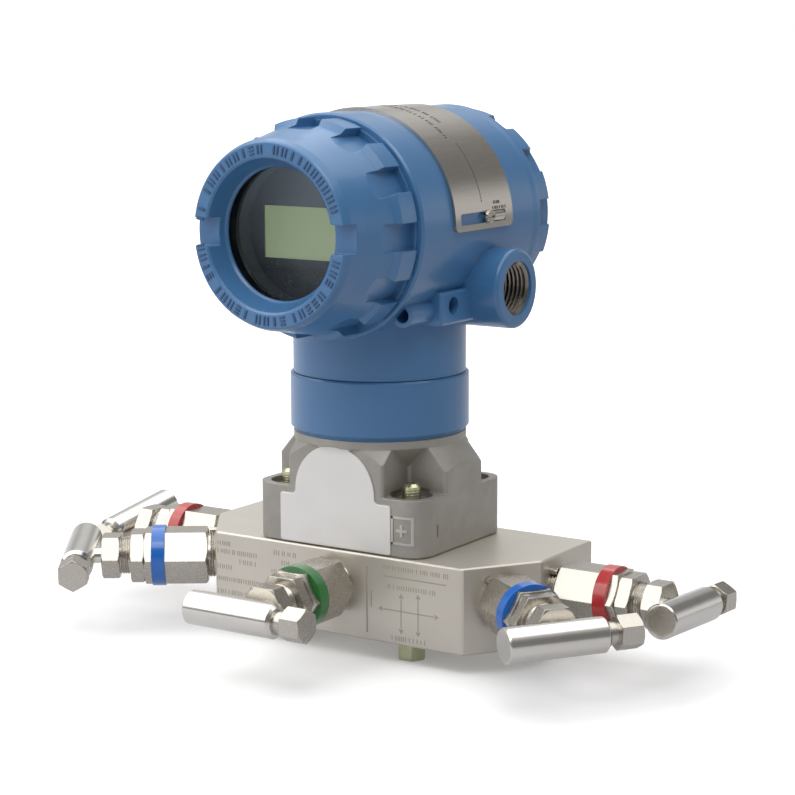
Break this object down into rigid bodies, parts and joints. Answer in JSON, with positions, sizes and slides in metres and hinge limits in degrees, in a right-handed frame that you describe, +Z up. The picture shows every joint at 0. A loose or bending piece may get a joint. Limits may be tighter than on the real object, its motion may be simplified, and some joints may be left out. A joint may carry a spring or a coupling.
{
  "type": "pressure transmitter",
  "caption": "Differential pressure transmitter with a windowed round housing on a collar and notched sensor module, bolted to a needle-valve manifold block with T handles.",
  "frame": {"origin": "on the axis of the neck, at the level that the four bolt heads stand on", "axes": "+Z up along the neck, -Y out of the display, +X to the right of someone reading it"},
  "size_m": [0.2792, 0.1645, 0.2089],
  "materials": {
    "manifold_steel": "satin machined stainless steel",
    "module_casting": "fine blasted stainless casting",
    "valve_steel": "turned stainless steel",
    "stem_steel": "ground stainless steel",
    "handle_steel": "drawn stainless bar",
    "bolt_zinc": "yellow zinc plate",
    "housing_paint": "semi-gloss polyurethane paint on aluminium",
    "nameplate_steel": "brushed stainless sheet",
    "window_clear": "clear toughened glass",
    "plastic_black": "moulded black plastic",
    "display_film": "unlit liquid crystal display",
    "board_green": "lacquered circuit board",
    "seal_rubber": "moulded rubber",
    "seal_ptfe": "white fluoropolymer",
    "band_red": "moulded colour ring",
    "band_blue": "moulded colour ring",
    "band_green": "moulded colour ring"
  },
  "bodies": {
    "base": {"manifold_body": "manifold_steel", "flange_bolts": "bolt_zinc", "bolt_washers": "bolt_zinc", "process_seals": "seal_ptfe", "sensor_module": "module_casting", "isolating_diaphragms": "valve_steel", "neck_collar": "housing_paint", "red_bands": "band_red", "blue_bands": "band_blue", "green_band": "band_green", "lock_nuts": "valve_steel", "gland_nuts": "valve_steel", "stem_packings": "seal_ptfe", "locking_pins": "valve_steel", "equalizing_bonnet": "valve_steel", "right_isolating_bonnet": "valve_steel", "left_isolating_bonnet": "valve_steel", "right_vent_bonnet": "valve_steel", "left_vent_bonnet": "valve_steel"},
    "housing": {"housing": "housing_paint", "rotation_set_screw": "valve_steel", "electronics_board": "board_green", "electronics_case": "plastic_black", "display_board": "board_green", "display_bezel": "plastic_black", "display_panel": "display_film", "terminal_block": "plastic_black", "terminal_screws": "valve_steel", "nameplate": "nameplate_steel", "nameplate_screws": "nameplate_steel", "adjustment_cover": "nameplate_steel"},
    "window": {"window_glass": "window_clear", "window_retainer": "plastic_black", "front_cover_seal": "seal_rubber"},
    "front_cover": {"front_cover": "housing_paint"},
    "rear_seal": {"rear_cover_seal": "seal_rubber"},
    "rear_cover": {"rear_cover": "housing_paint"},
    "equalizing_tip": {"equalizing_valve_tip": "valve_steel"},
    "equalizing_handle": {"equalizing_stem": "stem_steel", "equalizing_handle_bar": "handle_steel", "equalizing_handle_screw": "handle_steel"},
    "right_isolating_tip": {"right_isolating_valve_tip": "valve_steel"},
    "right_isolating_handle": {"right_isolating_stem": "stem_steel", "right_isolating_handle_bar": "handle_steel", "right_isolating_handle_screw": "handle_steel"},
    "left_isolating_tip": {"left_isolating_valve_tip": "valve_steel"},
    "left_isolating_handle": {"left_isolating_stem": "stem_steel", "left_isolating_handle_bar": "handle_steel", "left_isolating_handle_screw": "handle_steel"},
    "right_vent_tip": {"right_vent_valve_tip": "valve_steel"},
    "right_vent_handle": {"right_vent_stem": "stem_steel", "right_vent_handle_bar": "handle_steel", "right_vent_handle_screw": "handle_steel"},
    "left_vent_tip": {"left_vent_valve_tip": "valve_steel"},
    "left_vent_handle": {"left_vent_stem": "stem_steel", "left_vent_handle_bar": "handle_steel", "left_vent_handle_screw": "handle_steel"}
  },
  "joints": [
    {"name": "housing_turn", "type": "hinge", "parent": "base", "child": "housing", "pos_m": [0, 0, 0.10715], "axis": [0, 0, 1], "range_deg": [-180, 180]},
    {"name": "front_cover_advance", "type": "slide", "parent": "housing", "child": "window", "axis": [0, -1, 0], "range_m": [0, 0.00751]},
    {"name": "front_cover_unscrew", "type": "hinge", "parent": "window", "child": "front_cover", "pos_m": [0, -0.05, 0.165], "axis": [0, -1, 0], "range_deg": [0, 1800]},
    {"name": "rear_cover_advance", "type": "slide", "parent": "housing", "child": "rear_seal", "axis": [0, 1, 0], "range_m": [0, 0.00751]},
    {"name": "rear_cover_unscrew", "type": "hinge", "parent": "rear_seal", "child": "rear_cover", "pos_m": [0, 0.055, 0.165], "axis": [0, 1, 0], "range_deg": [0, 1800]},
    {"name": "equalizing_tip_lift", "type": "slide", "parent": "base", "child": "equalizing_tip", "axis": [0, -1, 0], "range_m": [0, 0.00351]},
    {"name": "equalizing_handle_turn", "type": "hinge", "parent": "equalizing_tip", "child": "equalizing_handle", "pos_m": [0, -0.032, 0.0279], "axis": [0, -1, 0], "range_deg": [0, 1260]},
    {"name": "right_isolating_tip_lift", "type": "slide", "parent": "base", "child": "right_isolating_tip", "axis": [0.8207, -0.5714, 0], "range_m": [0, 0.00351]},
    {"name": "right_isolating_handle_turn", "type": "hinge", "parent": "right_isolating_tip", "child": "right_isolating_handle", "pos_m": [0.0669, -0.0185, 0.0279], "axis": [0.8207, -0.5714, 0], "range_deg": [0, 1260]},
    {"name": "left_isolating_tip_lift", "type": "slide", "parent": "base", "child": "left_isolating_tip", "axis": [-0.8207, -0.5714, 0], "range_m": [0, 0.00351]},
    {"name": "left_isolating_handle_turn", "type": "hinge", "parent": "left_isolating_tip", "child": "left_isolating_handle", "pos_m": [-0.0669, -0.0185, 0.0279], "axis": [-0.8207, -0.5714, 0], "range_deg": [0, 1260]},
    {"name": "right_vent_tip_lift", "type": "slide", "parent": "base", "child": "right_vent_tip", "axis": [1, 0, 0], "range_m": [0, 0.00351]},
    {"name": "right_vent_handle_turn", "type": "hinge", "parent": "right_vent_tip", "child": "right_vent_handle", "pos_m": [0.0763, 0.007, 0.0279], "axis": [1, 0, 0], "range_deg": [0, 1260]},
    {"name": "left_vent_tip_lift", "type": "slide", "parent": "base", "child": "left_vent_tip", "axis": [-1, 0, 0], "range_m": [0, 0.00351]},
    {"name": "left_vent_handle_turn", "type": "hinge", "parent": "left_vent_tip", "child": "left_vent_handle", "pos_m": [-0.0763, 0.007, 0.0279], "axis": [-1, 0, 0], "range_deg": [0, 1260]}
  ],
  "couplings": [
    {"joint": "front_cover_advance", "follows": "front_cover_unscrew", "m_per_rad": 0.00023873},
    {"joint": "rear_cover_advance", "follows": "rear_cover_unscrew", "m_per_rad": 0.00023873},
    {"joint": "equalizing_tip_lift", "follows": "equalizing_handle_turn", "m_per_rad": 0.00015915},
    {"joint": "right_isolating_tip_lift", "follows": "right_isolating_handle_turn", "m_per_rad": 0.00015915},
    {"joint": "left_isolating_tip_lift", "follows": "left_isolating_handle_turn", "m_per_rad": 0.00015915},
    {"joint": "right_vent_tip_lift", "follows": "right_vent_handle_turn", "m_per_rad": 0.00015915},
    {"joint": "left_vent_tip_lift", "follows": "left_vent_handle_turn", "m_per_rad": 0.00015915}
  ]
}
